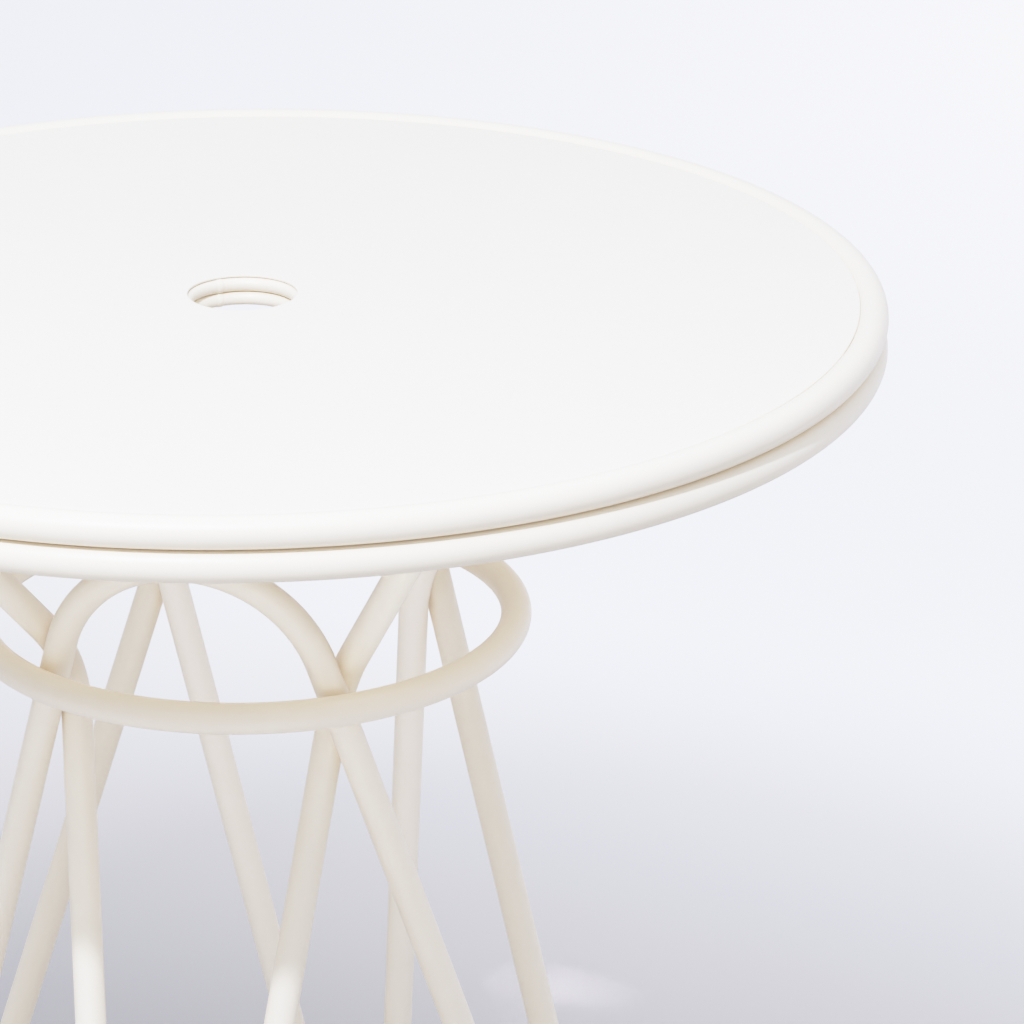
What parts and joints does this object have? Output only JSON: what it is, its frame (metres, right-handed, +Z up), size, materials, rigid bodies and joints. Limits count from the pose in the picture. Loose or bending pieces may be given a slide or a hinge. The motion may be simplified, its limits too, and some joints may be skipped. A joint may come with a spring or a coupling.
{
  "type": "cafe table",
  "caption": "Round white metal cafe table: sheet top with a parasol hole inside stacked rim tubes, on a sheaf of bent tube legs tied by a hoop.",
  "frame": {"origin": "on the floor, under the middle of the round top", "axes": "+Z up through the parasol hole; the front arch leg faces -Y; the two arch legs stand across the Y axis and their feet lie near the X axis"},
  "size_m": [0.7, 0.6999, 0.745],
  "materials": {
    "tube_coat": "satin powder coat, warm white, on round steel tube",
    "panel_coat": "fine-grained satin powder coat, warm white, on flat steel sheet",
    "glide_plastic": "moulded off-white polyethylene",
    "zinc_steel": "bright zinc plate",
    "raw_steel": "bare steel, closed inside the tubes"
  },
  "bodies": {
    "root": {"binding_hoop": "tube_coat", "crossing_welds": "tube_coat", "front_arch_leg": "tube_coat", "front_left_arch_glide": "glide_plastic", "front_left_flared_glide": "glide_plastic", "front_left_flared_leg": "tube_coat", "front_left_panel_rib": "tube_coat", "front_right_arch_glide": "glide_plastic", "front_right_flared_glide": "glide_plastic", "front_right_flared_leg": "tube_coat", "front_right_panel_rib": "tube_coat", "hoop_welds": "tube_coat", "hub_ring_welds": "tube_coat", "hub_tack_welds": "tube_coat", "lower_hub_ring": "tube_coat", "lower_rim_tube": "tube_coat", "mounting_screws": "zinc_steel", "panel_stitch_welds": "tube_coat", "rear_arch_leg": "tube_coat", "rear_left_arch_glide": "glide_plastic", "rear_left_flared_glide": "glide_plastic", "rear_left_flared_leg": "tube_coat", "rear_left_panel_rib": "tube_coat", "rear_right_arch_glide": "glide_plastic", "rear_right_flared_glide": "glide_plastic", "rear_right_flared_leg": "tube_coat", "rear_right_panel_rib": "tube_coat", "ring_butt_welds": "tube_coat", "ring_joint_sleeves": "raw_steel", "rivet_nuts": "zinc_steel", "saddle_washers": "zinc_steel", "spoke_welds": "tube_coat", "tabletop_panel": "panel_coat", "upper_hub_ring": "tube_coat", "upper_rim_tube": "tube_coat"}
  },
  "joints": []
}
